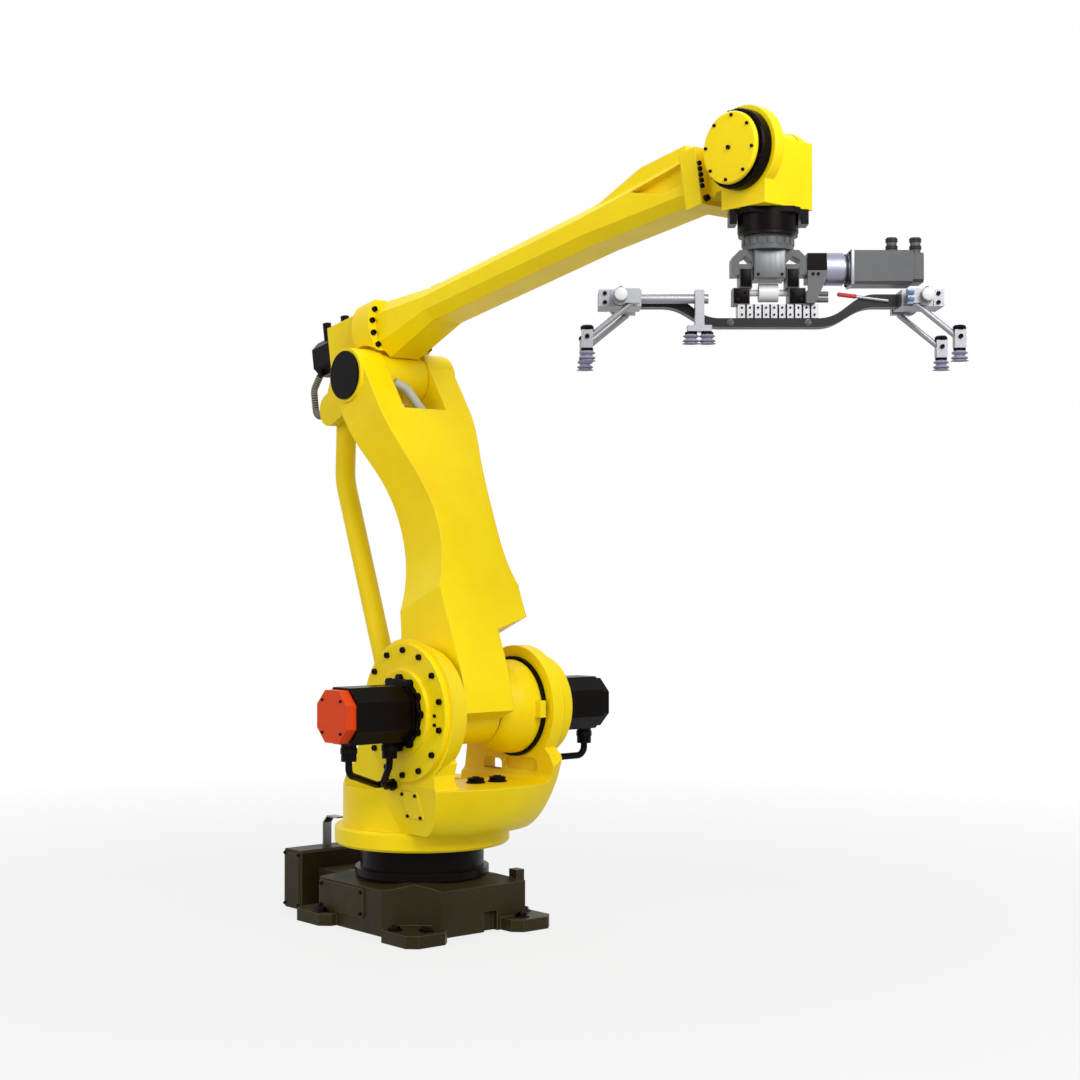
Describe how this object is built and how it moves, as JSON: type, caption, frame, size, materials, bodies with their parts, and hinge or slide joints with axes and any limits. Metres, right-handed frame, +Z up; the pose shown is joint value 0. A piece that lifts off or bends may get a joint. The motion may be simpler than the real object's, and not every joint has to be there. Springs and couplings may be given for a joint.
{
  "type": "palletising robot arm",
  "caption": "Yellow floor-bolted palletising robot arm with a slewing turret, parallel-link lower arm, long forearm, turning wrist and a vacuum-cup frame gripper.",
  "frame": {"origin": "on the floor at the centre of the base, on the slewing axis", "axes": "+X forward along the forearm, +Y to the arm's left, +Z up"},
  "size_m": [2.5858, 1.061, 2.4121],
  "materials": {
    "yellow_paint": "gloss",
    "base_paint": "satin",
    "black_paint": "satin",
    "red_cap": "matte",
    "bare_steel": "brushed",
    "tool_grey": "satin",
    "silver_bar": "machined",
    "pale_aluminium": "anodised",
    "dark_beam": "satin",
    "lilac_gear": "anodised",
    "white_roller": "matte",
    "cup_rubber": "matte",
    "pale_hose": "matte"
  },
  "bodies": {
    "base": {"base_casting": "base_paint", "connector_box": "base_paint", "cable_strip": "bare_steel", "base_cover": "base_paint", "slew_ring": "black_paint"},
    "turret": {"turret_casting": "yellow_paint", "shoulder_disc": "yellow_paint", "shoulder_motor": "black_paint", "motor_cap": "red_cap", "link_motor": "black_paint", "motor_leads": "black_paint"},
    "lower_arm": {"arm_casting": "yellow_paint", "elbow_covers": "black_paint", "arm_hose": "pale_hose"},
    "elbow_pin": {"elbow_pin": "bare_steel"},
    "crank": {"crank": "yellow_paint", "crank_seal": "black_paint"},
    "crank_pin": {"crank_pin": "bare_steel"},
    "link_rod": {"link_rod": "yellow_paint"},
    "forearm": {"elbow_housing": "yellow_paint", "rear_motor": "black_paint", "elbow_loops": "pale_hose", "forearm_tube": "yellow_paint", "wrist_neck": "yellow_paint"},
    "wrist": {"wrist_housing": "yellow_paint", "wrist_ring": "black_paint", "wrist_cover": "yellow_paint", "turning_unit": "black_paint"},
    "tool": {"tool_flange": "bare_steel", "changer_stack": "tool_grey", "tool_block": "tool_grey", "tool_roller": "white_roller", "segment_bar": "silver_bar", "tool_beam": "dark_beam", "end_clamps": "pale_aluminium", "cross_tubes": "pale_aluminium", "cup_struts": "pale_aluminium", "side_tube": "pale_aluminium", "drop_bracket": "pale_aluminium", "suction_cups": "cup_rubber", "gear_mount": "black_paint", "tool_gearbox": "lilac_gear", "tool_servo": "tool_grey", "gusset": "tool_grey", "lever": "pale_aluminium"}
  },
  "joints": [
    {"name": "slew", "type": "hinge", "parent": "base", "child": "turret", "pos_m": [0, 0, 0.274], "axis": [0, 0, 1], "range_deg": [-180, 180]},
    {"name": "shoulder", "type": "hinge", "parent": "turret", "child": "lower_arm", "pos_m": [0.272, 0, 0.729], "axis": [0, 1, 0], "range_deg": [-25, 65]},
    {"name": "elbow_level", "type": "hinge", "parent": "lower_arm", "child": "elbow_pin", "pos_m": [-0.16887, 0, 1.8257], "axis": [0, 1, 0], "range_deg": [-65, 25]},
    {"name": "elbow", "type": "hinge", "parent": "elbow_pin", "child": "forearm", "pos_m": [-0.16887, 0, 1.8257], "axis": [0, 1, 0], "range_deg": [-28, 40]},
    {"name": "crank_turn", "type": "hinge", "parent": "turret", "child": "crank", "pos_m": [0.272, 0, 0.729], "axis": [0, 1, 0], "range_deg": [-28, 40]},
    {"name": "crank_level", "type": "hinge", "parent": "crank", "child": "crank_pin", "pos_m": [-0.01, 0, 0.639], "axis": [0, 1, 0], "range_deg": [-40, 28]},
    {"name": "rod_swing", "type": "hinge", "parent": "crank_pin", "child": "link_rod", "pos_m": [-0.01, 0, 0.639], "axis": [0, 1, 0], "range_deg": [-25, 65]},
    {"name": "wrist_tilt", "type": "hinge", "parent": "forearm", "child": "wrist", "pos_m": [1.5665, 0, 2.29213], "axis": [0, -1, 0], "range_deg": [-20, 60]},
    {"name": "tool_spin", "type": "hinge", "parent": "wrist", "child": "tool", "pos_m": [1.5665, 0, 2.07013], "axis": [0, 0, -1], "range_deg": [-360, 360]}
  ],
  "couplings": [
    {"joint": "elbow_level", "follows": "shoulder", "ratio": -1},
    {"joint": "crank_turn", "follows": "elbow", "ratio": 1},
    {"joint": "crank_level", "follows": "elbow", "ratio": -1},
    {"joint": "rod_swing", "follows": "shoulder", "ratio": 1}
  ]
}
